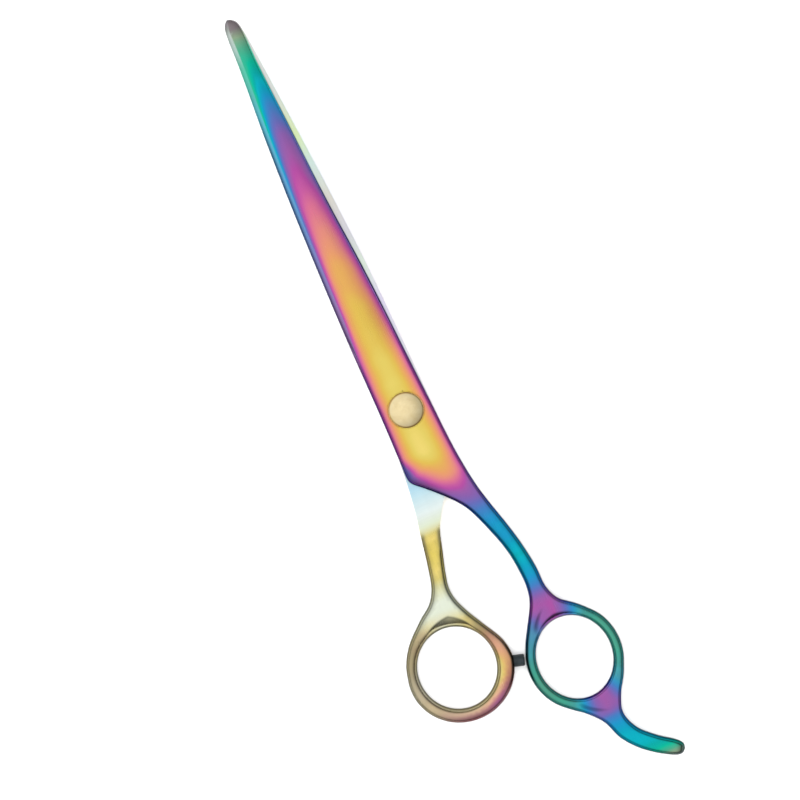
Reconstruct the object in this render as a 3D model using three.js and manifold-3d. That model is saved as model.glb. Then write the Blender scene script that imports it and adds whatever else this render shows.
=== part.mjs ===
// Thinning shears with a finger rest, in millimetres.
// +X runs from the pivot to the blade tips, +Z is up, and the shears lie on the plane z = 0.
// The origin is on the pivot axis, in the plane of the screw's end face, which the shears rest on.
// The upper half is the straight blade with the finger ring.
// The lower half is the comb blade with the thumb ring.
import * as THREE from "three";
import { mergeVertices } from "three/addons/utils/BufferGeometryUtils.js";
import Module from "manifold-3d";

const wasm = await Module();
wasm.setup();

// Heights.
const RIDE = 3.6; // the plane in which the two blades slide on each other
const BLADE_GAP = 0.15; // from each inner face to that plane
const RICASSO_THICK = 3.0; // each half at the pivot
const TIP_THICK = 1.15; // each blade at its tip
const EDGE_SHARE = 0.08; // how much of that thickness is left at a cutting edge
const SPINE_BEVEL = 0.45; // how much of it the bevel along the spine takes away
const HANDLE_HEIGHT = 6.0; // arms, rings and finger rest, from z = 0 up

// Places along the shears.
const TIP_X = 113.4;
const COMB_TIP_X = 112.3;
const BLADE_ROOT_X = 8; // the flat pivot area turns into the ground blade between these two
const GRIND_FULL_X = 26;
const RICASSO_END_X = -20; // the half's outer face runs down to the handle's height between these two
const HANDLE_START_X = -34;
const RELIEF_X = -29.5; // the inner flat ends here, and a ramp of RELIEF_RAMP leads to the full section
const RELIEF_RAMP = 3.6;

// Rings.
const FINGER_RING = { x: -77.85, y: -13.8, holeX: 11.2, holeY: 10.05, outX: 14.1, outY: 12.85 };
const THUMB_HOLE = { x: -67.7, y: 15.7, rx: 10.95, ry: 10.5 };
const THUMB_RIM = { x: -68.8, y: 15.1, rx: 13.65, ry: 14.3 };
const EDGE_ROUND = 0.85; // how far the rounding of an edge reaches into the outline
const CORE = 0.1; // the share of the thickness that the rounding leaves as a straight side
const ROUND_STEPS = 3;

// Comb.
const TOOTH_COUNT = 40;
const TOOTH_PITCH = 2.2;
const TOOTH_GAP = 1.05;
const FIRST_GAP_X = 21.5;
const ROOT_Y = -1.0; // the bottom of the gaps

// Pivot.
const SIDES = 40;
const SCREW_HEAD_R = 4.75;
const SHANK_R = 2.1;
const THREAD_R = 1.75;
const THREAD_DEPTH = 0.18;
const THREAD_PITCH = 0.5;
const KEY_FLAT = 1.65; // half the distance across the two flats that stop the screw turning
const PIVOT_CLEARANCE = 0.15;
const BUSH_WALL = 0.55;
const HEAD_SEAT_R = 5.0;
const HEAD_SEAT_Z = 5.7;
const HEAD_BASE_Z = 6.45;
const HEAD_TOP_Z = 8.1;
const NUT_R = 4.3;
const NUT_SEAT_Z = 1.7;

// Bumper.
const BUMPER_R = 1.6;
const BUMPER_STEM_R = 0.8;
const BUMPER_Z = 3.0;

const lerp = THREE.MathUtils.lerp;
const smoothstep = THREE.MathUtils.smoothstep;

const colours = {
  coated: new THREE.MeshStandardMaterial({ color: 0xd9a24a, roughness: 0.22, metalness: 1.0 }),
  blue: new THREE.MeshStandardMaterial({ color: 0x2f8fb8, roughness: 0.22, metalness: 1.0 }),
  gold: new THREE.MeshStandardMaterial({ color: 0xe6c27a, roughness: 0.18, metalness: 1.0 }),
  steel: new THREE.MeshStandardMaterial({ color: 0xb8bcc0, roughness: 0.3, metalness: 1.0 }),
  brass: new THREE.MeshStandardMaterial({ color: 0xc9a24f, roughness: 0.35, metalness: 1.0 }),
  nylon: new THREE.MeshStandardMaterial({ color: 0xf1f0ea, roughness: 0.5, metalness: 0.0 }),
  rubber: new THREE.MeshStandardMaterial({ color: 0x23272b, roughness: 0.8, metalness: 0.0 }),
};

// ---- Outlines, each a list of [x, y] that runs counter-clockwise from above ----

// A smooth curve through the points, as n short sides.
function through(n, points) {
  const curve = new THREE.CatmullRomCurve3(
    points.map(([x, y]) => new THREE.Vector3(x, y, 0)),
    false,
    "centripetal",
  );
  return curve.getSpacedPoints(n).map((p) => [p.x, p.y]);
}

function ellipse(cx, cy, rx, ry, fromDeg, toDeg, n) {
  const points = [];
  for (let i = 0; i <= n; i++) {
    const a = THREE.MathUtils.degToRad(lerp(fromDeg, toDeg, i / n));
    points.push([cx + rx * Math.cos(a), cy + ry * Math.sin(a)]);
  }
  return points;
}

const straightSpine = [
  [TIP_X, 0.8],
  [112.8, 1.5],
  [111.8, 2.1],
  [110, 2.5],
  [100, 3.05],
  [80, 4.55],
  [60, 5.6],
  [40, 6.3],
  [20, 6.75],
  [0, 6.9],
  [-13, 7.2],
];
const straightEdge = [
  [-25, -8.75],
  [-15, -7.55],
  [0, -6.85],
  [20, -6.0],
  [40, -5.1],
  [60, -3.75],
  [80, -2.85],
  [100, -1.95],
  [109.8, -1.9],
  [111.9, -1.4],
  [112.9, -0.5],
  [TIP_X, 0.3],
];
const combSpine = [
  [-13, -7.3],
  [0, -6.95],
  [20, -6.75],
  [40, -6.35],
  [60, -5.45],
  [80, -4.2],
  [100, -2.8],
  [108.5, -2.1],
  [110.7, -1.6],
  [111.8, -0.7],
  [COMB_TIP_X, -0.2],
];
const combEdge = [
  [COMB_TIP_X, 0.2],
  [111.8, 0.7],
  [110.7, 1.0],
  [108.5, 1.25],
  [100, 1.75],
  [80, 3.1],
  [60, 4.1],
  [40, 5.0],
  [20, 5.8],
  [0, 6.5],
  [-15, 7.5],
  [-25, 8.8],
];

// The part of a blade's edge or spine that belongs to the pivot area.
function pivotPart(table) {
  return table.filter(([x]) => x <= 20);
}

function straightOutline() {
  const ring = FINGER_RING;
  const edge = pivotPart(straightEdge);
  const spine = pivotPart(straightSpine);
  return [
    ...through(8, edge),
    ...through(6, spine),
    ...through(5, [spine.at(-1), [-16.9, 7.2], [-18.5, 6.5], [-19.8, 5.3]]),
    // the slanted end of the pivot area, and the arm's inner side
    ...through(5, [[-19.8, 5.3], [-23.1, 1.8], [-25.9, -0.7], [-29.9, -3.75]]),
    ...through(7, [[-29.9, -3.75], [-35.9, -6.3], [-44.9, -9.0], [-52, -9.8]]),
    ...through(8, [[-52, -9.8], [-56, -9.75], [-59.9, -8.8], [-66, -5.3], [-71.3, -2.4]]),
    ...ellipse(ring.x, ring.y, ring.outX, ring.outY, 68, 138, 12),
    // finger rest
    ...through(7, [[-90.4, -7.5], [-92.7, -10.3], [-96.8, -13.8], [-102.3, -16.0]]),
    ...through(6, [[-102.3, -16.0], [-107.1, -19.8], [-111.0, -24.9]]),
    ...through(6, [[-111.0, -24.9], [-112.8, -28.4], [-112.2, -30.1], [-110.6, -30.8], [-108.9, -29.5]]),
    ...through(7, [[-108.9, -29.5], [-105.6, -25.2], [-101.3, -21.1], [-96.4, -19.5]]),
    ...through(6, [[-96.4, -19.5], [-91.8, -21.0], [-86.2, -24.5]]),
    ...ellipse(ring.x, ring.y, ring.outX, ring.outY, 240, 300, 10),
    ...through(7, [[-69.1, -23.8], [-65.2, -20.2], [-61.6, -16.1], [-57.5, -14.5], [-52, -14.35]]),
    ...through(7, [[-52, -14.35], [-45, -13.45], [-38, -11.9], [-31, -10.05], edge[0]]),
  ];
}

function combOutline() {
  const rim = THUMB_RIM;
  const edge = pivotPart(combEdge);
  const spine = pivotPart(combSpine);
  return [
    ...through(8, edge),
    ...through(6, [edge.at(-1), [-32, 10.2], [-40, 11.8], [-46, 13.4]]),
    ...through(8, [[-46, 13.4], [-49.3, 15.5], [-52.3, 19.5], [-57.3, 25.0], [-63, 28.4]]),
    ...ellipse(rim.x, rim.y, rim.rx, rim.ry, 72, 264, 26),
    ...through(5, [[-66, 1.5], [-60, 4.5], [-54.8, 7.2], [-50.7, 8.7]]),
    ...through(5, [[-50.7, 8.7], [-47.4, 9.0], [-44, 8.3], [-38, 6.5]]),
    ...through(10, [[-38, 6.5], [-32, 4.6], [-29, 2.9], [-26, 0.9], [-23, -1.7], [-19.3, -5.3]]),
    ...through(5, [[-19.3, -5.3], [-17.9, -6.6], [-16.1, -7.2], spine[0]]),
    ...through(6, spine),
  ];
}

// ---- Solids ----

// A geometry whose vertices are merged becomes a solid.
function solid(geometry) {
  geometry.deleteAttribute("normal");
  geometry.deleteAttribute("uv");
  const merged = mergeVertices(geometry, 1e-4);
  return new wasm.Manifold(
    new wasm.Mesh({
      numProp: 3,
      vertProperties: new Float32Array(merged.attributes.position.array),
      triVerts: new Uint32Array(merged.index.array),
    }),
  );
}

function geometryOf(manifold) {
  const mesh = manifold.getMesh();
  const geometry = new THREE.BufferGeometry();
  geometry.setAttribute("position", new THREE.BufferAttribute(mesh.vertProperties, 3));
  geometry.setIndex(new THREE.BufferAttribute(mesh.triVerts, 1));
  geometry.computeVertexNormals();
  return geometry;
}

function withoutRepeats(points) {
  return points.filter(([x, y], i) => {
    const [px, py] = points[(i + points.length - 1) % points.length];
    return Math.hypot(x - px, y - py) > 0.05;
  });
}

// A profile of [radius, z] turned about the Z axis.
function turned(profile, sides = SIDES) {
  const geometry = new THREE.LatheGeometry(
    profile.map(([r, z]) => new THREE.Vector2(r, z)),
    sides,
  );
  return geometry.rotateX(Math.PI / 2);
}

// A round bar on the Z axis between two heights.
function cylinder(radius, low, high, sides = SIDES) {
  return turned([[0, low], [radius, low], [radius, high], [0, high]], sides);
}

function tubeProfile(inner, outer, low, high) {
  return [[inner, low], [outer, low], [outer, high], [inner, high], [inner, low]];
}

function box(x0, x1, y0, y1, z0, z1) {
  const geometry = new THREE.BoxGeometry(x1 - x0, y1 - y0, z1 - z0);
  return geometry.translate((x0 + x1) / 2, (y0 + y1) / 2, (z0 + z1) / 2);
}

// The y of a table of [x, y] at x.
function at(table, x) {
  const sorted = [...table].sort((a, b) => a[0] - b[0]);
  const i = sorted.findIndex(([tx]) => tx > x);
  if (i === 0) return sorted[0][1];
  if (i < 0) return sorted.at(-1)[1];
  const [[x0, y0], [x1, y1]] = [sorted[i - 1], sorted[i]];
  return lerp(y0, y1, (x - x0) / (x1 - x0));
}

// How much of the full height is left at a distance from a rounded side, where the rounding reaches in by r.
function rounded(distance, r) {
  const u = Math.min(distance / r, 1);
  return lerp(CORE, 1, Math.sqrt(1 - (1 - u) ** 2));
}

// The height of a ground blade across its width: 0 at the cutting edge, 1 at the spine.
function ground(across) {
  const hollow = Math.sin(Math.min(across / 0.62, 1) * (Math.PI / 2));
  return lerp(EDGE_SHARE, 1, hollow) - SPINE_BEVEL * Math.max(0, (across - 0.8) / 0.2);
}

// A blade, lofted from the pivot area to its tip. side is 1 above the ride plane and -1 below it.
function blade(edge, spine, tipX, side) {
  const stations = [BLADE_ROOT_X, 11, 14, 17, 20, 23, GRIND_FULL_X];
  for (let x = GRIND_FULL_X + 8; x < tipX - 8; x += 8) stations.push(x);
  stations.push(tipX - 5, tipX - 3, tipX - 1.6, tipX - 0.6, tipX);
  const positions = [];
  const index = [];
  let perSection = 0;
  for (const x of stations) {
    const from = at(edge, x);
    const width = Math.abs(at(spine, x) - from);
    const r = Math.min(EDGE_ROUND, 0.3 * width);
    const near = [0, 0.12 * r, 0.45 * r, r].map((d) => d / width);
    const acrosses = [...near, 0.35, 0.5, 0.62, 0.8 - 0.001, ...near.map((s) => 1 - s).reverse()];
    acrosses.sort((a, b) => a - b);
    const full = lerp(RICASSO_THICK, TIP_THICK, smoothstep(x, 0, TIP_X));
    const outer = acrosses.map((s) => {
      const flat = RICASSO_THICK * rounded(Math.min(s, 1 - s) * width, r);
      return [s, lerp(flat, full * ground(s), smoothstep(x, BLADE_ROOT_X, GRIND_FULL_X))];
    });
    for (const [s, h] of [...outer, [1, 0], [0, 0]]) {
      positions.push(x, lerp(from, at(spine, x), s), RIDE + side * h);
    }
    perSection = outer.length + 2;
  }
  for (let i = 0; i + 1 < stations.length; i++) {
    for (let j = 0; j < perSection; j++) {
      const a = i * perSection + j;
      const b = i * perSection + ((j + 1) % perSection);
      index.push(a, a + perSection, b, b, a + perSection, b + perSection);
    }
  }
  const last = (stations.length - 1) * perSection;
  for (let j = 1; j + 1 < perSection; j++) {
    index.push(0, j, j + 1, last, last + j + 1, last + j);
  }
  const geometry = new THREE.BufferGeometry();
  geometry.setAttribute("position", new THREE.Float32BufferAttribute(positions, 3));
  geometry.setIndex(index);
  return solid(geometry);
}

// The pivot area with the arm and the ring: a plate with rounded edges, whose faces move from the
// height of the pivot area to that of the handle.
function handle(outline, hole) {
  const shape = new THREE.Shape(withoutRepeats(outline).map(([x, y]) => new THREE.Vector2(x, y)));
  shape.holes.push(new THREE.Path(hole.slice(0, -1).map(([x, y]) => new THREE.Vector2(x, y))));
  const geometry = new THREE.ExtrudeGeometry(shape, {
    depth: CORE,
    bevelThickness: (1 - CORE) / 2,
    bevelSize: EDGE_ROUND,
    bevelOffset: -EDGE_ROUND,
    bevelSegments: ROUND_STEPS,
  });
  geometry.translate(0, 0, (1 - CORE) / 2);
  const p = geometry.attributes.position;
  for (let i = 0; i < p.count; i++) {
    const share = 1 - smoothstep(p.getX(i), HANDLE_START_X, RICASSO_END_X);
    const low = lerp(RIDE - RICASSO_THICK, 0, share);
    const high = lerp(RIDE + RICASSO_THICK, HANDLE_HEIGHT, share);
    p.setZ(i, lerp(low, high, p.getZ(i)));
  }
  return solid(geometry).subtract(solid(box(BLADE_ROOT_X, 40, -20, 20, -1, 10)));
}

// What is cut from a half so that the other can lie in its plane: everything past the ride plane,
// up to the ramp.
function relief(side) {
  const face = -side * BLADE_GAP;
  const far = side * (RIDE + 2);
  const profile = new THREE.Shape();
  profile.moveTo(TIP_X + 10, face);
  profile.lineTo(RELIEF_X, face);
  profile.quadraticCurveTo(RELIEF_X - 0.4 * RELIEF_RAMP, face, RELIEF_X - RELIEF_RAMP, far * 0.5);
  profile.lineTo(RELIEF_X - 1.3 * RELIEF_RAMP, far);
  profile.lineTo(TIP_X + 10, far);
  const geometry = new THREE.ExtrudeGeometry(profile, { depth: 60, bevelEnabled: false, curveSegments: 5 });
  geometry.rotateX(Math.PI / 2).translate(0, 30, RIDE);
  return solid(geometry.rotateZ(side * THREE.MathUtils.degToRad(-8)));
}

// The two flats on the screw's shank, or the hole that fits them.
function keyedShank(radius, flat, low, high) {
  const slab = solid(box(-radius - 1, radius + 1, -flat, flat, low - 1, high + 1));
  return solid(cylinder(radius, low, high)).intersect(slab);
}

// The bumper lies on a line from the thumb hole's centre through the ring, at this angle.
const bumperAngle = THREE.MathUtils.degToRad(252.5);
const bumperReach = 14.25; // from the hole's centre to the seat that is cut for the bumper's head
const bumperLength = 3.75;

function placeOnBumperLine(geometry, start) {
  geometry.rotateY(Math.PI / 2).translate(start, 0, 0).rotateZ(bumperAngle);
  return geometry.translate(THUMB_HOLE.x, THUMB_HOLE.y, BUMPER_Z);
}

function straightBlade() {
  const ring = FINGER_RING;
  const hole = ellipse(ring.x, ring.y, ring.holeX, ring.holeY, 0, -360, 32);
  const bore = SHANK_R + BUSH_WALL + 2 * PIVOT_CLEARANCE;
  return handle(straightOutline(), hole)
    .add(blade(straightEdge, straightSpine, TIP_X, 1))
    .subtract(relief(-1))
    .subtract(solid(cylinder(bore, 0, RIDE + 10)))
    .subtract(solid(cylinder(HEAD_SEAT_R, HEAD_SEAT_Z, RIDE + 10)));
}

function combGaps() {
  let gaps = null;
  for (let i = 0; i < TOOTH_COUNT; i++) {
    const x = FIRST_GAP_X + i * TOOTH_PITCH;
    const gap = solid(box(x, x + TOOTH_GAP, ROOT_Y, at(combEdge, x) + 2, -1, RIDE + 2));
    gaps = gaps ? gaps.add(gap) : gap;
  }
  return gaps;
}

function combBlade() {
  const hole = ellipse(THUMB_HOLE.x, THUMB_HOLE.y, THUMB_HOLE.rx, THUMB_HOLE.ry, 0, -360, 32);
  const seat = placeOnBumperLine(cylinder(BUMPER_R + PIVOT_CLEARANCE, 0, 4, 24), bumperReach);
  const stemHole = placeOnBumperLine(cylinder(BUMPER_STEM_R + PIVOT_CLEARANCE, 0, 4, 16), bumperReach - 2.0);
  return handle(combOutline(), hole)
    .add(blade(combEdge, combSpine, COMB_TIP_X, -1))
    .subtract(relief(1))
    .subtract(keyedShank(SHANK_R + PIVOT_CLEARANCE, KEY_FLAT + PIVOT_CLEARANCE, -1, RIDE + 1))
    .subtract(solid(cylinder(NUT_R + 0.3, -1, NUT_SEAT_Z)))
    .subtract(combGaps())
    .subtract(solid(seat))
    .subtract(solid(stemHole));
}

function pivotScrew() {
  const thread = [];
  for (let z = 0.25; z < NUT_SEAT_Z - 0.4; z += THREAD_PITCH) {
    thread.push([THREAD_R, z], [THREAD_R - THREAD_DEPTH, z + THREAD_PITCH / 2]);
  }
  const dome = ellipse(0, HEAD_TOP_Z - 1.1, SCREW_HEAD_R - 0.15, 1.1, 0, 90, 6).slice(0, -1);
  const body = solid(
    turned([
      [0, 0],
      [THREAD_R - 0.25, 0],
      ...thread,
      [THREAD_R, NUT_SEAT_Z - 0.1],
      [SHANK_R, NUT_SEAT_Z],
      [SHANK_R, HEAD_BASE_Z],
      [SCREW_HEAD_R - 0.1, HEAD_BASE_Z],
      [SCREW_HEAD_R, HEAD_BASE_Z + 0.1],
      [SCREW_HEAD_R, HEAD_TOP_Z - 1.2],
      ...dome,
      [0, HEAD_TOP_Z],
    ]),
  );
  const beside = KEY_FLAT + 2;
  const flats = solid(box(-3, 3, KEY_FLAT, beside, NUT_SEAT_Z - 0.2, RIDE - BLADE_GAP)).add(
    solid(box(-3, 3, -beside, -KEY_FLAT, NUT_SEAT_Z - 0.2, RIDE - BLADE_GAP)),
  );
  return body.subtract(flats);
}

// A ring of spring steel, bent into three low waves.
function springWasher() {
  const geometry = turned(tubeProfile(2.45, 4.4, 6.15, 6.32), 48);
  const p = geometry.attributes.position;
  for (let i = 0; i < p.count; i++) {
    const angle = Math.atan2(p.getY(i), p.getX(i));
    p.setZ(i, p.getZ(i) + 0.06 * Math.cos(3 * angle));
  }
  return solid(geometry);
}

// A round nut with two spanner slots and a recess for its nylon ring.
function lockNut() {
  const nut = solid(
    turned([
      [THREAD_R + PIVOT_CLEARANCE, 0.55],
      [2.75, 0.55],
      [2.75, 0],
      [NUT_R - 0.2, 0],
      [NUT_R, 0.2],
      [NUT_R, 1.3],
      [THREAD_R + PIVOT_CLEARANCE, 1.3],
      [THREAD_R + PIVOT_CLEARANCE, 0.55],
    ]),
  );
  return nut
    .subtract(solid(box(3.0, NUT_R + 1, -0.5, 0.5, -1, 0.5)))
    .subtract(solid(box(-NUT_R - 1, -3.0, -0.5, 0.5, -1, 0.5)));
}

function bumper() {
  const stem = BUMPER_STEM_R;
  const profile = [
    [0, -1.8],
    [stem, -1.7],
    [stem, 0.1],
    [BUMPER_R - 0.1, 0.1],
    [BUMPER_R, 0.25],
    [BUMPER_R, bumperLength - 0.5],
    [BUMPER_R - 0.4, bumperLength],
    [0, bumperLength],
  ];
  return solid(placeOnBumperLine(turned(profile, 24), bumperReach));
}

// ---- Assembly ----

const shears = new THREE.Group();

function add(name, manifold, material, group) {
  const mesh = new THREE.Mesh(geometryOf(manifold), material);
  mesh.name = name;
  group.add(mesh);
}

const upperHalf = new THREE.Group();
add("straight_blade", straightBlade(), colours.coated, upperHalf);
add("pivot_bush", solid(turned(tubeProfile(2.25, 2.8, RIDE + BLADE_GAP, 5.65))), colours.brass, upperHalf);
add("head_washer", solid(turned(tubeProfile(2.4, 4.6, 5.8, 6.0))), colours.nylon, upperHalf);
add("spring_washer", springWasher(), colours.steel, upperHalf);
shears.add(upperHalf);

const lowerHalf = new THREE.Group();
add("comb_blade", combBlade(), colours.blue, lowerHalf);
add("pivot_screw", pivotScrew(), colours.gold, lowerHalf);
add("nut_washer", solid(turned(tubeProfile(2.3, 4.2, 1.4, 1.6))), colours.steel, lowerHalf);
add("bumper", bumper(), colours.rubber, lowerHalf);
shears.add(lowerHalf);

const tensionNut = new THREE.Group();
add("lock_nut", lockNut(), colours.gold, tensionNut);
add("nut_lock_ring", solid(turned(tubeProfile(1.9, 2.6, 0.05, 0.45))), colours.nylon, tensionNut);
shears.add(tensionNut);

export default shears;
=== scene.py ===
# Thinning shears: the visible model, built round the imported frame.
# Lengths in the making of a piece are millimetres, and become metres when the mesh is made.
import math

import bpy
import numpy as np
from mathutils import Matrix, Vector
from mathutils.geometry import delaunay_2d_cdt


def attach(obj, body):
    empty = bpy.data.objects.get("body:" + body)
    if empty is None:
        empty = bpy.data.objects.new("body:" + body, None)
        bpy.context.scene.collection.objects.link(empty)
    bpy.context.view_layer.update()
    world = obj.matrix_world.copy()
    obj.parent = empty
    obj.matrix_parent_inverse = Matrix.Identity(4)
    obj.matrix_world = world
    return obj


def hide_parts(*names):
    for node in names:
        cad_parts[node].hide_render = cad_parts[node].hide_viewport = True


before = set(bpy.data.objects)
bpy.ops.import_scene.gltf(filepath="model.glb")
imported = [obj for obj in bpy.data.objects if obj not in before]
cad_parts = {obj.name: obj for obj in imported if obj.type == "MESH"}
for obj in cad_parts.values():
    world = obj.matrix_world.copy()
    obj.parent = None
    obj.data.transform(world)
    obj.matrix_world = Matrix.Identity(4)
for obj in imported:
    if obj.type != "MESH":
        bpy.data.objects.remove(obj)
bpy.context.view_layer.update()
MM = 0.001

# Heights, z.
RIDE = 3.6  # the plane in which the two blades slide on each other
BLADE_GAP = 0.15  # from each inner face to that plane
RICASSO_THICK = 3.0  # each half at the pivot
TIP_THICK = 1.15  # each blade at its tip
HANDLE_HEIGHT = 6.0  # arms, rings and finger rest, from z = 0 up

# Places along the shears, x. The pivot is at 0 and the tips are at the high end.
TIP_X = 113.4
COMB_TIP_X = 112.3
BLADE_ROOT_X = 8.0  # the grinding of a blade starts here
GRIND_FULL_X = 26.0  # and is full from here on
RICASSO_END_X = -20.0  # the outer face runs down to the handle's height between these two
HANDLE_START_X = -34.0
RELIEF_X = -29.5  # behind this the inner face leaves the ride plane
RELIEF_RAMP = 5.4
RAMP_HEIGHT = 2.75

# Rings: centre x, y and half-widths along X and Y.
FINGER_HOLE = (-77.85, -13.8, 11.2, 10.05)
FINGER_RIM = (-77.85, -13.8, 14.1, 12.85)
THUMB_HOLE = (-67.7, 15.7, 10.95, 10.5)
THUMB_RIM = (-68.8, 15.1, 13.65, 14.3)

# Bumper: on a line from the thumb hole's centre.
BUMPER_ANGLE = math.radians(252.5)
BUMPER_REACH = 14.25
BUMPER_LENGTH = 3.7
BUMPER_R = 1.6

# Screw, and the bores of the two halves.
HEAD_R, HEAD_BASE_Z, HEAD_TOP_Z = 4.75, 6.45, 8.1
HEAD_ROUND = 0.2  # along the head's lower edge
SHANK_R = 2.1
THREAD_R, THREAD_ROOT_R, THREAD_PITCH, THREAD_TURNS = 1.75, 1.6, 0.44, 3
STRAIGHT_BORE_R, COMB_BORE_R = 2.95, 2.2
HEAD_SEAT_R, HEAD_SEAT_Z = 5.0, 5.7
NUT_SEAT_R, NUT_SEAT_Z = 4.6, 1.7

# Comb.
GAP_COUNT = 40
TOOTH_PITCH = 2.2
TOOTH_GAP = 1.05
FIRST_GAP_X = 21.5
ROOT_Y = -1.0  # the bottom of the gaps
TOOTH_CORNER = (0.12, 0.14)  # what is taken off the corners beside a gap
NOTCH_HALF, NOTCH_DEPTH = 0.28, 0.3

# Surfaces. A rounding is a length in the measure that Half.mean holds.
RING_ROUND = 0.74
ARM_ROUND = 0.86
RICASSO_ROUND = 0.8
REST_TO_RING = (-100, -94)  # the x between which one rounding turns into the next
RING_TO_ARM = (-66, -52)
ARM_TO_RICASSO = (-34, -24)
SEAM_REACH = (3, 12)  # distances from a seam between which the two sides stop being one line
STRIP_WIDTH = 1.35  # the bevel along a blade's spine
STRIP_MOST = 0.27  # of the blade's width
STRIP_GROWS = (4, 30)  # the x between which it grows
STRIP_DROP = 0.25  # as a share of the blade's thickness, as is the next
SPINE_DROP = 0.25
SPINE_ROUND = 0.22
EDGE_BEVEL = 0.6  # the convex bevel along a cutting edge
EDGE_BEVEL_MOST = 0.24  # of the blade's width
HOLLOW_DEPTH = 0.1  # of the inner faces
LEAST_WALL = 0.03  # between the two faces
HALF_SEAM = 0.02  # half a handle's thickness at its side
CORNER_ROUND = 0.12  # between the inner face and the handle's rounding
WEB_SPREAD = 40.0  # degrees to each side of an arm in which the facet beside the hole widens
WEB_DROP = 0.34  # as a share of half the handle's height
ARCH_BASE = 0.6  # how far an arch reaches from the hole at its two ends
FINGER_WEBS = [(2, 0.9), (190, 0.0)]  # an arm's angle from the hole's centre, and the arch's further reach
THUMB_WEBS = [(-14, 2.3)]
# Where the finger ring's outer line runs on into a web as a crease: two ends, each an angle round the
# ring and a distance from its centre as a share of the rim's.
CREASES = [((36, 0.89), (12, 1.08)), ((160, 0.9), (188, 1.15))]
CREASE_WIDTH = 0.026
CREASE_DROP = 0.07

# Meshing.
EDGE_STEP = 0.38  # spacing of points along the outline
GAP_STEP = 0.5  # and along a gap's walls
INSETS = (0.015, 0.06, 0.13, 0.22, 0.33, 0.46, 0.6, 0.76, 0.95, 1.2)  # rows of points inside a loop
ROW_TOLERANCE = 0.93  # a row's point nearer to any loop than this share of its inset is left out
LATTICE = 0.8  # spacing of the points in the middle
LATTICE_MARGIN = 0.35  # from the last row
CREASE_SHORT = 4.0  # the row along a spine's bevel ends this far from the tip
MERGE_DISTANCE = 1e-5
LEAST_SPACING = 0.05  # between two control points
SPAN_SAMPLES = 24  # between two control points, before the even steps
FORGED_SHARP, TURNED_SHARP = 40, 32  # degrees
BATCH = 1500  # points measured at a time
TINY = 1e-6
NOTHING = 1e-12  # keeps a division from failing
NO_AREA = 1e-9


# ---- Outlines -------------------------------------------------------------------------------

def ellipse(e, start, stop, count):
    """Points on an ellipse between two angles in degrees."""
    angles = np.radians(np.linspace(start, stop, count))
    return [(e[0] + e[2] * math.cos(a), e[1] + e[3] * math.sin(a)) for a in angles]


def spline(points):
    """A smooth curve through the points, a centripetal Catmull-Rom spline, sampled at even steps."""
    p = np.array(points, float)
    p = p[np.r_[True, np.hypot(*np.diff(p, axis=0).T) > LEAST_SPACING]]
    p = np.vstack([2 * p[0] - p[1], p, 2 * p[-1] - p[-2]])
    dense = []
    for i in range(1, len(p) - 2):
        a, b, c, d = p[i - 1:i + 3]
        t = np.cumsum([0] + [max(np.hypot(*(v - u)), TINY) ** 0.5 for u, v in ((a, b), (b, c), (c, d))])
        for s in np.linspace(t[1], t[2], SPAN_SAMPLES, endpoint=False):
            ab = (t[1] - s) / (t[1] - t[0]) * a + (s - t[0]) / (t[1] - t[0]) * b
            bc = (t[2] - s) / (t[2] - t[1]) * b + (s - t[1]) / (t[2] - t[1]) * c
            cd = (t[3] - s) / (t[3] - t[2]) * c + (s - t[2]) / (t[3] - t[2]) * d
            abc = (t[2] - s) / (t[2] - t[0]) * ab + (s - t[0]) / (t[2] - t[0]) * bc
            bcd = (t[3] - s) / (t[3] - t[1]) * bc + (s - t[1]) / (t[3] - t[1]) * cd
            dense.append((t[2] - s) / (t[2] - t[1]) * abc + (s - t[1]) / (t[2] - t[1]) * bcd)
    dense.append(p[-2])
    dense = np.array(dense)
    along = np.r_[0, np.cumsum(np.hypot(*np.diff(dense, axis=0).T))]
    count = max(3, int(round(along[-1] / EDGE_STEP)))
    even = np.linspace(0, along[-1], count + 1)
    return np.column_stack([np.interp(even, along, dense[:, 0]), np.interp(even, along, dense[:, 1])])


STRAIGHT_SPINE = [(TIP_X, 0.8), (112.8, 1.5), (111.8, 2.1), (110, 2.5), (100, 3.05), (80, 4.55),
                  (60, 5.6), (40, 6.3), (20, 6.75), (0, 6.9), (-13, 7.2)]
STRAIGHT_EDGE = [(-25, -8.75), (-15, -7.55), (0, -6.85), (20, -6.0), (40, -5.1), (60, -3.75),
                 (80, -2.85), (100, -1.95), (109.8, -1.9), (111.9, -1.4), (112.9, -0.5), (TIP_X, 0.3)]
COMB_SPINE = [(-13, -7.3), (0, -6.95), (20, -6.75), (40, -6.35), (60, -5.45), (80, -4.2), (100, -2.8),
              (108.5, -2.1), (110.7, -1.6), (111.8, -0.7), (COMB_TIP_X, -0.2)]
COMB_EDGE = [(COMB_TIP_X, 0.2), (111.8, 0.7), (110.7, 1.0), (108.5, 1.25), (100, 1.75), (80, 3.1),
             (60, 4.1), (40, 5.0), (20, 5.8), (0, 6.5), (-15, 7.5), (-25, 8.8)]

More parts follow.
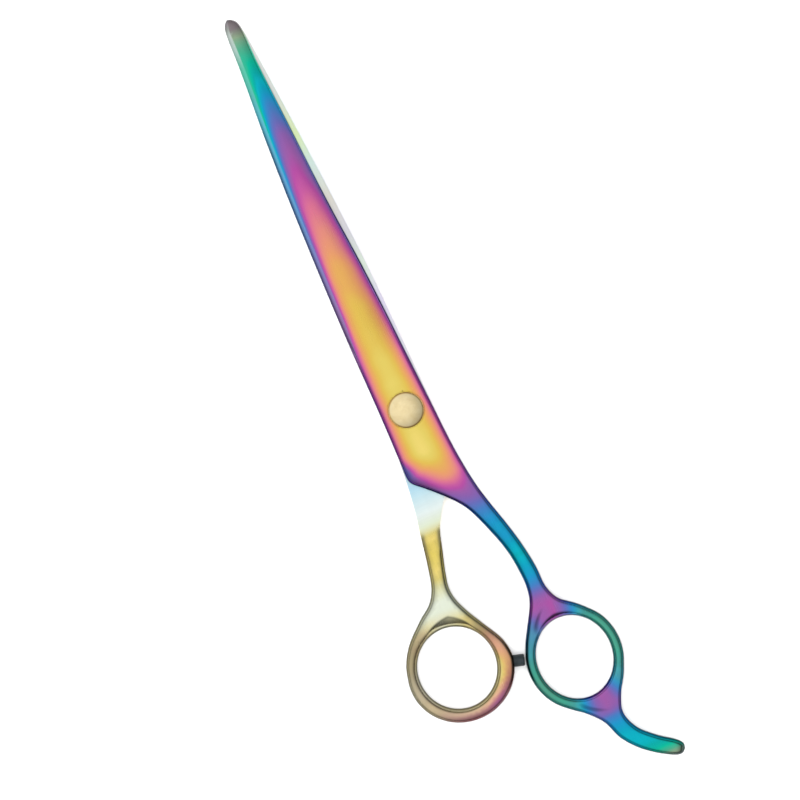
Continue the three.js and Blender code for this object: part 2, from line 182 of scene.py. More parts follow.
# Each half's outline has two sides that meet at the blade tip: the cutting-edge side and the spine side.
STRAIGHT_UPPER = STRAIGHT_SPINE + [
    (-15.6, 7.3), (-17.2, 7.2), (-18.3, 6.75), (-19.2, 5.95), (-20.8, 4.2), (-23.2, 1.8), (-25.9, -0.7),
    (-29.9, -3.75), (-35.9, -6.3), (-44.9, -9.0), (-52, -9.8), (-56, -9.75), (-59.9, -8.8), (-66, -5.3),
    (-69.2, -3.4),
] + ellipse(FINGER_RIM, 72, 136, 8) + [
    (-90.4, -7.5), (-92.7, -10.3), (-96.8, -13.8), (-102.3, -16.0), (-107.1, -19.8), (-111.0, -24.9),
    (-112.7, -28.3), (-112.6, -29.6), (-111.8, -30.5),
]
STRAIGHT_LOWER = [
    (-111.8, -30.5), (-110.5, -30.7), (-109.0, -29.6), (-105.6, -25.2), (-101.3, -21.1), (-96.4, -19.5),
    (-91.8, -21.0), (-87.3, -23.8),
] + ellipse(FINGER_RIM, 240, 298, 7) + [
    (-69.1, -23.8), (-65.2, -20.2), (-61.6, -16.1), (-57.5, -14.5), (-52, -14.35), (-45, -13.45),
    (-38, -11.9), (-31, -10.05),
] + STRAIGHT_EDGE
COMB_UPPER = COMB_EDGE + [
    (-32, 10.2), (-40, 11.8), (-46, 13.4), (-49.3, 15.5), (-52.3, 19.5), (-57.3, 25.0), (-61.7, 27.8),
] + ellipse(THUMB_RIM, 74, 180, 12)
COMB_LOWER = ellipse(THUMB_RIM, 180, 262, 10) + [
    (-66, 1.5), (-60, 4.5), (-54.8, 7.2), (-50.7, 8.7), (-47.4, 9.0), (-44, 8.3), (-38, 6.5), (-32, 4.6),
    (-29, 2.9), (-26, 0.9), (-23, -1.7), (-19.6, -5.1), (-18.2, -6.4), (-16.4, -7.15), (-14.8, -7.3),
] + COMB_SPINE


def table(points, x):
    """The y of a list of (x, y) at x."""
    p = np.array(sorted(points))
    return np.interp(x, p[:, 0], p[:, 1])


# ---- Plane geometry -------------------------------------------------------------------------

def distance(points, line):
    """From each point to a polyline."""
    a, b = line[:-1], line[1:]
    ab = b - a
    length2 = np.maximum((ab ** 2).sum(1), NOTHING)
    out = np.empty(len(points))
    for i in range(0, len(points), BATCH):
        p = points[i:i + BATCH, None, :]
        t = np.clip(((p - a) * ab).sum(2) / length2, 0, 1)
        out[i:i + BATCH] = np.sqrt((((p - a) - t[:, :, None] * ab) ** 2).sum(2).min(1))
    return out


def inside(points, loops):
    """Which points lie inside the first loop and outside the others, by the even-odd rule."""
    hit = np.zeros(len(points), bool)
    for loop in loops:
        a, b = loop, np.roll(loop, -1, axis=0)
        for i in range(0, len(points), BATCH):
            p = points[i:i + BATCH, None, :]
            spans = (a[:, 1] > p[..., 1]) != (b[:, 1] > p[..., 1])
            dy = np.where(b[:, 1] == a[:, 1], NOTHING, b[:, 1] - a[:, 1])
            x = a[:, 0] + (p[..., 1] - a[:, 1]) / dy * (b[:, 0] - a[:, 0])
            hit[i:i + BATCH] ^= (spans & (x > p[..., 0])).sum(1) % 2 == 1
    return hit


def inset_points(loop, amount):
    """The loop's points moved to its left by an amount."""
    ahead = np.roll(loop, -1, axis=0) - np.roll(loop, 1, axis=0)
    ahead /= np.maximum(np.hypot(*ahead.T), NOTHING)[:, None]
    return loop + amount * np.column_stack([-ahead[:, 1], ahead[:, 0]])


def plan_mesh(loops, extra):
    """Points and triangles that fill the first loop less the others, with rows along every loop.

    The first loop runs counter-clockwise and the others clockwise, so the material is on the left.
    extra holds more points to place inside, where a surface bends sharply."""
    rings = [np.vstack([loop, loop[:1]]) for loop in loops]
    rows = []
    for amount in INSETS:
        row = np.vstack([inset_points(loop, amount) for loop in loops])
        row = row[inside(row, loops)]
        near = np.min([distance(row, ring) for ring in rings], axis=0)
        rows.append(row[near > ROW_TOLERANCE * amount])
    low, high = loops[0].min(0), loops[0].max(0)
    gx, gy = np.meshgrid(np.arange(low[0], high[0], LATTICE), np.arange(low[1], high[1], LATTICE))
    gx[::2] += LATTICE / 2
    lattice = np.column_stack([gx.ravel(), gy.ravel()])
    lattice = lattice[inside(lattice, loops)]
    near = np.min([distance(lattice, ring) for ring in rings], axis=0)
    lattice = lattice[near > INSETS[-1] + LATTICE_MARGIN]
    inner = np.vstack(rows + [lattice, extra])
    boundary = np.vstack(loops)
    edges, start = [], 0
    for loop in loops:
        n = len(loop)
        edges += [(start + i, start + (i + 1) % n) for i in range(n)]
        start += n
    points = np.vstack([boundary, inner])
    made = delaunay_2d_cdt([Vector(p) for p in points], edges, [], 0, MERGE_DISTANCE)
    verts = np.array([(v.x, v.y) for v in made[0]])
    tris = np.array([f for f in made[2] if len(f) == 3])
    centre = verts[tris].mean(1)
    tris = tris[inside(centre, loops)]
    a, b, c = verts[tris[:, 0]], verts[tris[:, 1]], verts[tris[:, 2]]
    area = (b[:, 0] - a[:, 0]) * (c[:, 1] - a[:, 1]) - (b[:, 1] - a[:, 1]) * (c[:, 0] - a[:, 0])
    solid = np.abs(area) > NO_AREA
    tris, area = tris[solid], area[solid]
    tris[area < 0] = tris[area < 0][:, ::-1]
    return verts, tris


def border(tris):
    """The edges that only one triangle has, each as it runs in that triangle."""
    edges = np.vstack([tris[:, [0, 1]], tris[:, [1, 2]], tris[:, [2, 0]]])
    key = {(a, b) for a, b in edges.tolist()}
    return [(a, b) for a, b in key if (b, a) not in key]


# ---- Surfaces -------------------------------------------------------------------------------

def smoothstep(x, low, high):
    """0 up to low and 1 from high on, with a smooth rise between them."""
    t = np.clip((x - low) / (high - low), 0, 1)
    return t * t * (3 - 2 * t)


def mix(a, b, t):
    return a + (b - a) * t


def dome(u):
    """A quarter of an ellipse: 0 at u = 0, and 1 from u = 1 on."""
    return np.sqrt(np.maximum(1 - (1 - np.clip(u, 0, 1)) ** 2, 0))


def soft_least(a, b):
    """The smaller of two heights, with the corner between them rounded off."""
    h = np.clip(0.5 + 0.5 * (b - a) / CORNER_ROUND, 0, 1)
    return mix(b, a, h) - CORNER_ROUND * h * (1 - h)


def strip_width(x, width):
    """The bevel along a spine, which grows out of the pivot area and narrows with the blade."""
    return np.minimum(STRIP_WIDTH * smoothstep(x, *STRIP_GROWS), STRIP_MOST * width)


class Half:
    """Distances and heights of one half of the shears. side is 1 above the ride plane and -1 below it.

    mean joins the distances to the two sides and the hole: beside one of them it is near the distance
    to that one, and it rises smoothly to its highest in the middle of a wall."""

    def __init__(self, side, edge_line, spine_line, edge_table, spine_table, hole_points, hole, webs,
                 hole_lean, seam=None):
        """seam is the place on a ring where the two sides meet, if they count as one line round it.
        hole_lean under 1 widens the rounding beside the hole."""
        self.side = side
        self.edge_line, self.spine_line = edge_line, spine_line
        self.edge_table, self.spine_table = edge_table, spine_table
        self.hole_line = np.vstack([hole_points, hole_points[:1]])
        self.hole, self.webs, self.hole_lean, self.seam = hole, webs, hole_lean, seam

    def measure(self, p):
        """Take the points, and find for each what the surfaces and the film depend on."""
        x, y = p[:, 0], p[:, 1]
        self.x, self.y = x, y
        self.to_edge = distance(p, self.edge_line)
        self.to_spine = distance(p, self.spine_line)
        self.to_hole = distance(p, self.hole_line)
        self.to_side = np.minimum(self.to_edge, self.to_spine)
        self.outside = self.to_hole / (self.to_hole + self.to_side + TINY)  # 0 at the hole, 1 at the outline
        sides = 1 / (self.to_edge + TINY) + 1 / (self.to_spine + TINY)
        if self.seam is not None:
            # round a ring the two sides are one line, which counts once
            near_seam = 1 - smoothstep(np.hypot(x - self.seam[0], y - self.seam[1]), *SEAM_REACH)
            sides = mix(sides, 1 / (self.to_side + TINY), near_seam)
        self.mean = 1 / (sides + 1 / (self.hole_lean * self.to_hole + TINY))
        self.width = np.abs(table(self.spine_table, x) - table(self.edge_table, x)) + TINY
        self.rounding = mix(mix(RING_ROUND, ARM_ROUND, smoothstep(x, *RING_TO_ARM)), RICASSO_ROUND,
                            smoothstep(x, *ARM_TO_RICASSO))
        self.rounding = mix(self.rounding, ARM_ROUND, 1 - smoothstep(x, *REST_TO_RING))
        self.handle = 1 - smoothstep(x, HANDLE_START_X, RICASSO_END_X)
        self.blade = smoothstep(x, BLADE_ROOT_X, GRIND_FULL_X)
        self.strip = strip_width(x, self.width)
        # where the ring joins an arm, a facet beside the hole rises to a pointed arch
        turn = angle_round(self, self.hole)
        self.arch, self.near_web = np.full(len(x), ARCH_BASE), np.zeros(len(x))
        for angle, reach in self.webs:
            away = np.clip(1 - np.abs((turn - angle + 180) % 360 - 180) / WEB_SPREAD, 0, 1)
            self.arch = np.maximum(self.arch, ARCH_BASE + reach * away)
            self.near_web = np.maximum(self.near_web, smoothstep(away, 0, 0.5))
        self.facet = self.near_web * np.clip(1 - self.to_hole / self.arch, 0, 1)
        self.crease = np.zeros(len(x))
        if self.side > 0:
            turn, reach = angle_round(self, FINGER_RIM), reach_round(self, FINGER_RIM)
            for (a0, r0), (a1, r1) in CREASES:
                along = (turn - a0) / (a1 - a0)
                ends = smoothstep(along, -0.15, 0.3) * (1 - smoothstep(along, 0.6, 1.2))
                off = (reach - mix(r0, r1, along)) / (CREASE_WIDTH * mix(1.9, 0.7, np.clip(along, 0, 1)))
                self.crease = np.maximum(self.crease, ends * np.exp(-off ** 2))

    def outer(self):
        """How far the outer face is from the ride plane in the blade and pivot area."""
        flat = RICASSO_THICK * mix(0.1, 1, dome(self.to_side / RICASSO_ROUND))
        full = mix(RICASSO_THICK, TIP_THICK, smoothstep(self.x, 0, TIP_X))
        bevel = np.minimum(EDGE_BEVEL, EDGE_BEVEL_MOST * self.width)
        rise = np.sin(np.clip(self.to_edge / bevel, 0, 1) * math.pi / 2)
        crown = np.sin(np.clip((self.to_edge - bevel) / (0.5 * self.width), 0, 1) * math.pi / 2)
        ground = BLADE_GAP + (full - BLADE_GAP) * (0.03 + 0.55 * rise + 0.42 * crown)
        past = np.clip(1 - self.to_spine / np.maximum(self.strip, TINY), 0, 1)
        ground = ground - STRIP_DROP * full * past
        ground = ground - SPINE_DROP * full * (1 - dome(self.to_spine / SPINE_ROUND))
        height = np.maximum(mix(flat, ground, self.blade), BLADE_GAP + LEAST_WALL)
        radius = HEAD_SEAT_R if self.side > 0 else NUT_SEAT_R
        seat = HEAD_SEAT_Z - RIDE if self.side > 0 else RIDE - NUT_SEAT_Z
        return np.where(np.hypot(self.x, self.y) < radius, np.minimum(height, seat), height)

    def inner(self):
        """How far the inner face is from the ride plane, on the half's own side of it."""
        lip = smoothstep(self.to_edge, 0.5, 1.6) * smoothstep(self.to_spine, 0.3, 1.6)
        return BLADE_GAP + HOLLOW_DEPTH * lip * smoothstep(self.x, 12, 24)

    def heights(self):
        """The two faces, upper first."""
        round_share = dome(self.mean / self.rounding) - WEB_DROP * self.facet - CREASE_DROP * self.crease
        round_share = np.maximum(round_share, 0)
        handle_mid = HANDLE_HEIGHT / 2
        mid = mix(RIDE, handle_mid, self.handle)
        handle_half = handle_mid * round_share + HALF_SEAM
        full = mix(self.outer(), handle_half, self.handle)
        other = mix(RICASSO_THICK, handle_half, self.handle)
        # the inner face drops away into the arm behind the pivot area
        down = -(self.x - RELIEF_X) / RELIEF_RAMP
        ramp = RAMP_HEIGHT * smoothstep(down, -0.1, 1.9) + 4 * np.clip(down - 1.6, 0, 1)
        inner = RIDE + self.side * self.inner() - self.side * ramp
        outer = mid + self.side * full
        lens = mid - self.side * other
        if self.side > 0:
            low = -soft_least(-lens, -inner)
            return np.maximum(outer, low + LEAST_WALL), low
        high = soft_least(lens, inner)
        return high, np.minimum(outer, high - LEAST_WALL)


# ---- Colour of the coating ------------------------------------------------------------------

PIVOT_WIDTH = 13.6  # stands in for the blade's width behind the pivot
FILM_JOINS = (-24, -16)  # the x between which an arm's film turns into the pivot area's

# The film is a number: below 0 it is bare or nearly so, from 0 it runs through the colours of a
# growing film, yellow, pink, purple, blue, teal and green, to a grey at 1. The tables give it by x
# in millimetres, and round a ring by the angle in degrees.

BLADE_FILM = [(-21, 0.06), (-17, 0.02), (-12, 0.0), (8, 0), (15, 0.02), (20, 0.035), (30, 0.065),
              (35, 0.085), (40, 0.10), (45, 0.15), (50, 0.185), (55, 0.225), (60, 0.27), (64, 0.31),
              (68, 0.35), (72, 0.38), (76, 0.41), (80, 0.45), (83, 0.5), (86, 0.54), (89, 0.58),
              (92, 0.635), (95, 0.69), (98, 0.75), (101, 0.81), (104, 0.865), (107, 0.92), (109, 0.965),
              (110.5, 1.0), (114, 1.0)]
STRIP_FILM = [(8, 0.33), (20, 0.42), (30, 0.44), (40, 0.485), (50, 0.55), (60, 0.61), (72, 0.66),
              (80, 0.7), (92, 0.76), (101, 0.83), (107, 0.92), (112, 1.0)]
ARM_FILM = [(-62, 0.38), (-60, 0.41), (-58, 0.49), (-56, 0.57), (-53, 0.65), (-50, 0.68), (-47, 0.725),
            (-44, 0.69), (-41, 0.65), (-38, 0.66), (-35, 0.63), (-32, 0.58), (-30, 0.53), (-28, 0.47),
            (-26, 0.41), (-24, 0.33), (-22, 0.24), (-20, 0.14), (-17, 0.06)]
REST_FILM = [(-112.5, 0.97), (-111, 0.93), (-110, 0.86), (-108, 0.77), (-106, 0.73), (-104, 0.72),
             (-102, 0.71), (-100, 0.67), (-98, 0.63), (-96, 0.56), (-95, 0.5), (-92, 0.44), (-90, 0.43)]
FINGER_FILM = [(0, 0.38), (18, 0.42), (40, 0.62), (60, 0.7), (80, 0.8), (100, 0.85), (120, 0.85),
               (140, 0.82), (160, 0.72), (180, 0.47), (190, 0.4), (200, 0.42), (220, 0.66), (240, 0.76),
               (260, 0.83), (280, 0.84), (300, 0.83), (320, 0.77), (330, 0.71), (345, 0.53), (360, 0.38)]
COMB_ARM_FILM = [(-54, -0.24), (-50, -0.27), (-47, -0.17), (-44, -0.04), (-41, 0.02), (-38, 0.04),
                 (-35, 0.03), (-33, -0.02), (-31, -0.1), (-28, 0.0), (-22, 0.02)]
THUMB_FILM = [(0, -0.2), (20, -0.04), (40, 0.1), (60, -0.02), (80, -0.1), (100, -0.1), (120, 0.02),
              (140, 0.12), (160, 0.14), (180, 0.13), (200, 0.17), (220, 0.16), (240, 0.09), (260, 0.11),
              (280, 0.17), (300, 0.19), (320, 0.04), (340, -0.1), (360, -0.2)]
THUMB_DULL = [(0, 0.9), (60, 0.8), (140, 1.0), (180, 0.9), (200, 0.7), (220, 0.6), (240, 0.3),
              (260, 0.3), (280, 0.5), (300, 0.4), (340, 0.8), (360, 0.9)]


def angle_round(half, ring):
    """Each point's angle round a ring, in degrees."""
    return np.degrees(np.arctan2((half.y - ring[1]) / ring[3], (half.x - ring[0]) / ring[2])) % 360


def reach_round(half, ring):
    """Each point's distance from a ring's centre, as a share of the ring's half-widths."""
    return np.hypot((half.x - ring[0]) / ring[2], (half.y - ring[1]) / ring[3])


def blade_film(half):
    """The film on the blade and pivot area: thicker towards the tip and towards both sides."""
    base = table(BLADE_FILM, half.x)
    width = np.where(half.x > 0, half.width, PIVOT_WIDTH)
    by_edge = mix(0.46, 0.13, smoothstep(half.x, 35, 85))
    by_edge = by_edge * np.exp(-half.to_edge / (mix(0.16, 0.14, half.blade) * width))
    from_strip = np.maximum(half.to_spine - half.strip, 0)
    by_shoulder = smoothstep(-half.x, 11, 17)
    reach = mix(mix(0.15, 0.2, by_shoulder), mix(0.085, 0.12, smoothstep(half.x, 60, 78)), half.blade) * width
    by_spine = mix(mix(0.46, 0.85, by_shoulder), 0.34, half.blade) * np.exp(-from_strip / reach)
    far = 1 - smoothstep(half.x, 88, 108)
    by_edge, by_spine = by_edge * far, by_spine * far
    main = np.minimum(base + by_edge + by_spine, np.where(half.x < 0, 0.5, np.maximum(base, 0.84)))
    on_strip = smoothstep(half.strip - half.to_spine, -0.04, 0.06) * smoothstep(half.x, 6, 14)
    pale = on_strip * (1 + 2.4 * smoothstep(half.x, 99, 106) * (1 - smoothstep(half.x, 109, 111.5)))
    return mix(main, table(STRIP_FILM, half.x), on_strip), pale


def straight_film(half):
    film, on_strip = blade_film(half)
    arm = table(ARM_FILM, half.x) + 0.27 * np.exp(-half.to_side / 1.8) * smoothstep(half.x, -29, -21)
    film = mix(arm, film, smoothstep(half.x, *FILM_JOINS))
    ring = table(FINGER_FILM, angle_round(half, FINGER_RIM))
    on_ring = smoothstep(-reach_round(half, FINGER_RIM), -1.3, -1.04)
    away = np.where(half.x < FINGER_RIM[0], table(REST_FILM, half.x), film)
    return mix(away, ring, on_ring), on_strip, on_ring * (1 - half.near_web), np.zeros(len(film))


def comb_film(half):
    film, on_strip = blade_film(half)
    arm = table(COMB_ARM_FILM, half.x) + 0.12 * np.exp(-half.mean / 0.22)
    film = mix(arm, film, smoothstep(half.x, *FILM_JOINS))
    turn = angle_round(half, THUMB_RIM)
    ring = table(THUMB_FILM, turn)
    # the ring's low side is pinker towards the outline, with a brighter spot that is a painted highlight, and
    # paler by the hole; its outer half also takes a painted reddish shade
    low_side = smoothstep(turn, 120, 175) * (1 - smoothstep(turn, 212, 290))
    outer_half = smoothstep(half.outside, 0.4, 0.7)
    pink_painted_highlight = np.exp(-((turn - 207) / 17) ** 2) * outer_half
    ring = ring + 0.12 * low_side * outer_half + 0.08 * pink_painted_highlight
    inner_side = smoothstep(turn, 40, 80) * (1 - smoothstep(turn, 250, 290))
    inner_side = inner_side * (1 - smoothstep(half.outside, 0.1, 0.35))
    ring = ring - 0.16 * inner_side
    on_ring = smoothstep(-reach_round(half, THUMB_RIM), -1.25, -1.0)
    dull = on_ring * table(THUMB_DULL, turn) * (1 - 0.7 * half.near_web) * (1 - 0.7 * pink_painted_highlight)
    # painted shade: a dark reddish tone on the outer half of the low side, weaker at the painted highlight
    painted_reddish_shade = on_ring * low_side * smoothstep(half.outside, 0.36, 0.7) * (1 - 0.45 * pink_painted_highlight)
    return mix(film, ring, on_ring), on_strip, dull, painted_reddish_shade


# ---- The two forged halves ------------------------------------------------------------------

def make_mesh(name, verts, faces, values, sharp):
    """A smooth-shaded object from points in millimetres, with one number per point for each value.

    sharp is the angle in degrees between two faces from which their edge stays sharp."""
    mesh = bpy.data.meshes.new(name)
    mesh.from_pydata((np.array(verts) * MM).tolist(), [], [list(f) for f in faces])
    for key, numbers in values.items():
        mesh.attributes.new(key, "FLOAT", "POINT").data.foreach_set("value", np.array(numbers, np.float32))
    mesh.polygons.foreach_set("use_smooth", [True] * len(mesh.polygons))
    mesh.update()
    mesh.set_sharp_from_angle(angle=math.radians(sharp))
    obj = bpy.data.objects.new(name, mesh)
    bpy.context.scene.collection.objects.link(obj)
    return obj


def paint_rim_shade(half):
    """How much painted shade each point takes: a darker tone painted on the rim, where the face leans over
    near a side.
    """
    # on arms and rings, by the share of the rounding, and wider towards the outline
    outside = smoothstep(half.outside, 0.2, 0.55)
    start = mix(mix(0.22, 0.3, half.side > 0), 0.42, outside)
    stop = mix(mix(0.68, 0.85, half.side > 0), mix(1.05, 1.25, smoothstep(half.x, -56, -48)), outside)
    tube = 1 - smoothstep(half.mean / half.rounding, start, stop)
    # on the blade and pivot area, by the distance to each side, and fainter towards the tip
    reach = mix(1.35, 0.5, half.blade)
    edge_side = (1 - smoothstep(half.to_edge, 0.2, reach)) * (1 - 0.75 * smoothstep(half.x, 50, 80))
    reach = mix(mix(1.4, 2.6, smoothstep(-half.x, 13, 18)), 1.0, half.blade)
    spine_side = (1 - smoothstep(half.to_spine, 0.25, reach)) * (1 - 0.7 * smoothstep(half.x, 74, 96))
    painted_rim_shade = mix(tube, np.maximum(edge_side, spine_side), smoothstep(half.x, -28, -18))
    # painted shade in the webs, along the arch, over the facet and along the creases, where shade falls
    arch_line = np.exp(-((half.to_hole - half.arch) / 0.3) ** 2) * smoothstep(half.arch, 0.7, 1.1)
    arch_line = 0.85 * arch_line + 0.5 * np.clip(6 * half.facet, 0, 1)
    painted_rim_shade = np.maximum(np.maximum(painted_rim_shade, half.near_web * arch_line), 0.75 * half.crease)
    # the rear half takes little of it ahead of the relief, where its upper face is ground
    return painted_rim_shade * (1 - 0.85 * smoothstep(half.x, RELIEF_X - 3.2, RELIEF_X - 1.2) * (half.side < 0))


def forged(name, half, loops, extra, film_of):
    """A solid between the half's two faces over its plan."""
    plan, tris = plan_mesh(loops, extra)
    half.measure(plan)
    high, low = half.heights()
    film, on_strip, on_ring, painted_reddish_shade = film_of(half)
    n = len(plan)
    verts = np.vstack([np.column_stack([plan, high]), np.column_stack([plan, low])])
    faces = [tuple(t) for t in tris.tolist()] + [tuple(t[::-1]) for t in (tris + n).tolist()]
    faces += [(a, a + n, b + n, b) for a, b in border(tris)]
    inner_face = smoothstep(half.x, RELIEF_X - 3.6, RELIEF_X - 0.6)
    zero = np.zeros(n)
    values = {"film": film, "painted_rim_shade": paint_rim_shade(half), "strip": on_strip, "ring": on_ring, "painted_reddish_shade": painted_reddish_shade}
    values = {key: np.r_[numbers, numbers] for key, numbers in values.items()}
    values["bare"] = np.r_[zero, inner_face] if half.side > 0 else np.r_[inner_face, zero]
    return make_mesh(name, verts, faces, values, FORGED_SHARP)


def clockwise(e, count):
    """A closed ellipse that runs clockwise, as the edge of a hole does."""
    a = np.linspace(0, -2 * math.pi, count, endpoint=False)
    return np.column_stack([e[0] + e[2] * np.cos(a), e[1] + e[3] * np.sin(a)])


def circle(radius, count):
    """A clockwise circle round the pivot's axis."""
    return clockwise((0, 0, radius, radius), count)


def hole_loop(e):
    """The edge of a ring's hole, in steps as long as the outline's."""
    return clockwise(e, int(2 * math.pi * math.sqrt((e[2] ** 2 + e[3] ** 2) / 2) / EDGE_STEP))


def ring_crease_points():
    """Rows of points along and beside the creases in the finger ring's webs."""
    rows = []
    for (a0, r0), (a1, r1) in CREASES:
        along = np.linspace(-0.15, 1.2, 32)
        a = np.radians(mix(a0, a1, along))
        for d in (-0.06, -0.04, -0.02, 0.0, 0.02, 0.04, 0.06):
            r = mix(r0, r1, along) + d
            rows.append(np.column_stack([FINGER_RIM[0] + FINGER_RIM[2] * r * np.cos(a),
                                         FINGER_RIM[1] + FINGER_RIM[3] * r * np.sin(a)]))
    return np.vstack(rows)


def crease_points(spine_table, edge_table, last_x):
    """Rows of points along the crease where the spine's bevel starts."""
    xs = np.arange(10, last_x, 0.45)
    spine, edge = table(spine_table, xs), table(edge_table, xs)
    strip = strip_width(xs, np.abs(spine - edge))
    down = -np.sign(spine.mean())
    return np.vstack([np.column_stack([xs, spine + down * (strip + d)]) for d in (-0.07, 0.0, 0.07)])


def seat_points(radius):
    """Rows of points on both sides of the edge of a round seat."""
    return np.vstack([circle(radius + d, int(24 * radius)) for d in (-0.25, -0.02, 0.02, 0.25)])


def arch_points(hole, webs):
    """Rows of points along the arches beside a hole, and between an arch and the hole."""
    rows = []
    for angle, reach in webs:
        turn = np.linspace(-WEB_SPREAD, WEB_SPREAD, 70)
        arch = ARCH_BASE + reach * (1 - np.abs(turn) / WEB_SPREAD)
        a = np.radians(angle + turn)
        out = np.column_stack([np.cos(a) / hole[2], np.sin(a) / hole[3]])
        out /= np.hypot(*out.T)[:, None]
        foot = np.column_stack([hole[0] + hole[2] * np.cos(a), hole[1] + hole[3] * np.sin(a)])
        for d in (-0.45, -0.3, -0.15, 0.0, 0.15, 0.3, 0.45, 0.65):
            rows.append(foot + out * (arch + d)[:, None])
    return np.vstack(rows)


def straight_half():
    """The front half, with the finger ring: above the ride plane."""
    upper, lower = spline(STRAIGHT_UPPER), spline(STRAIGHT_LOWER)
    outer = np.vstack([upper[:-1], lower[:-1]])
    hole = hole_loop(FINGER_HOLE)
    bore = circle(STRAIGHT_BORE_R, 64)
    half = Half(1, lower, upper, STRAIGHT_EDGE, STRAIGHT_SPINE, hole, FINGER_HOLE, FINGER_WEBS, hole_lean=1.0)
    extra = np.vstack([
        arch_points(FINGER_HOLE, FINGER_WEBS), ring_crease_points(), seat_points(HEAD_SEAT_R),
        crease_points(STRAIGHT_SPINE, STRAIGHT_EDGE, TIP_X - CREASE_SHORT),
    ])
    return forged("straight_blade_forging", half, [outer, hole, bore], extra, straight_film)


def comb_half():
    """The rear half, with the comb and the thumb ring: below the ride plane."""
    upper, lower = spline(COMB_UPPER), spline(COMB_LOWER)
    hole = hole_loop(THUMB_HOLE)
    half = Half(-1, upper, lower, COMB_EDGE, COMB_SPINE, hole, THUMB_HOLE, THUMB_WEBS, hole_lean=0.55,
                seam=upper[-1])
    outer = np.vstack([with_gaps(upper)[:-1], lower[:-1]])
    bore = circle(COMB_BORE_R, 56)
    extra = np.vstack([
        arch_points(THUMB_HOLE, THUMB_WEBS), seat_points(NUT_SEAT_R),
        crease_points(COMB_SPINE, COMB_EDGE, COMB_TIP_X - CREASE_SHORT),
    ])
    return forged("comb_blade_forging", half, [outer, hole, bore], extra, comb_film)


def with_gaps(line):
    """The comb's cutting edge with its gaps, and with a notch in the end of each tooth between two gaps."""
    root_r = TOOTH_GAP / 2
    lip_x, lip_y = TOOTH_CORNER
    points = [tuple(p) for p in line[line[:, 0] > FIRST_GAP_X + TOOTH_PITCH * GAP_COUNT]]
    for i in reversed(range(GAP_COUNT)):
        x0 = FIRST_GAP_X + i * TOOTH_PITCH
        x1 = x0 + TOOTH_GAP
        end = float(table(COMB_EDGE, x1))
        mid = x1 + (TOOTH_PITCH - TOOTH_GAP) / 2
        if i < GAP_COUNT - 1:
            points += [(mid + NOTCH_HALF, end - 0.02), (mid, end - NOTCH_DEPTH),
                       (mid - NOTCH_HALF, end - 0.02)]
        points += [(x1 + lip_x, end), (x1, end - lip_y)]
        steps = int((end - ROOT_Y) / GAP_STEP)
        points += [(x1, y) for y in np.linspace(end - GAP_STEP, ROOT_Y + root_r, steps)]
        points += [(x0 + root_r + root_r * math.cos(a), ROOT_Y + root_r * (1 - math.sin(a)))
                   for a in np.radians(range(20, 180, 20))]
        points += [(x0, y) for y in np.linspace(ROOT_Y + root_r, end - GAP_STEP, steps)]
        points += [(x0, end - lip_y), (x0 - lip_x, end)]
    points += [tuple(p) for p in line[line[:, 0] < FIRST_GAP_X - 0.3]]
    return np.array(points)


# ---- Materials ------------------------------------------------------------------------------

def srgb(code):
    """A linear colour from a web colour."""
    parts = [int(code[i:i + 2], 16) / 255 for i in (0, 2, 4)]
    return tuple((c / 12.92 if c <= 0.04045 else ((c + 0.055) / 1.055) ** 2.4) for c in parts) + (1.0,)


FILM_COLOURS = [  # by film
    (-0.40, "e9efec"), (-0.25, "dfe6d2"), (-0.12, "dfdba6"), (-0.04, "e0ce78"), (0.00, "efd87c"),
    (0.04, "dec964"), (0.08, "dcba54"), (0.12, "dfa95c"), (0.16, "e29c68"), (0.20, "e08f78"),
    (0.26, "d8748e"), (0.32, "c35c9c"), (0.37, "b24fa1"), (0.41, "9c5ca4"), (0.46, "8860aa"),
    (0.52, "666cb6"), (0.58, "427fc0"), (0.64, "2293c6"), (0.69, "13a2be"), (0.725, "10b0c0"),
    (0.76, "10aaa6"), (0.82, "12ba98"), (0.88, "4fab8a"), (0.94, "8ba487"), (1.00, "82777c"),
]
GROUND_TINTS = [  # what the grinding left on the inner faces, by place along X in metres
    (-0.036, "e1d688"), (-0.0325, "e2dfa6"), (-0.0300, "dfe8cf"), (-0.027, "e6f1ee"), (-0.0225, "c9e6ee"),
    (-0.0195, "b2def0"), (-0.015, "d2e0e4"), (0.010, "dfe2e8"), (0.030, "d8d2e8"), (0.040, "d5e1d5"),
    (0.050, "d2d0d8"), (0.060, "d5d2c8"), (0.070, "cbe0da"), (0.0785, "d0e2ac"), (0.090, "cfd4cf"),
    (0.105, "d6d6d4"),
]


HEAD_BEVEL_PAINTED_SHADE = "d8b572"  # painted shade: a deeper gold round the screw's head, on its bevel
LATHE_RINGS = 900  # the scale of the turning marks


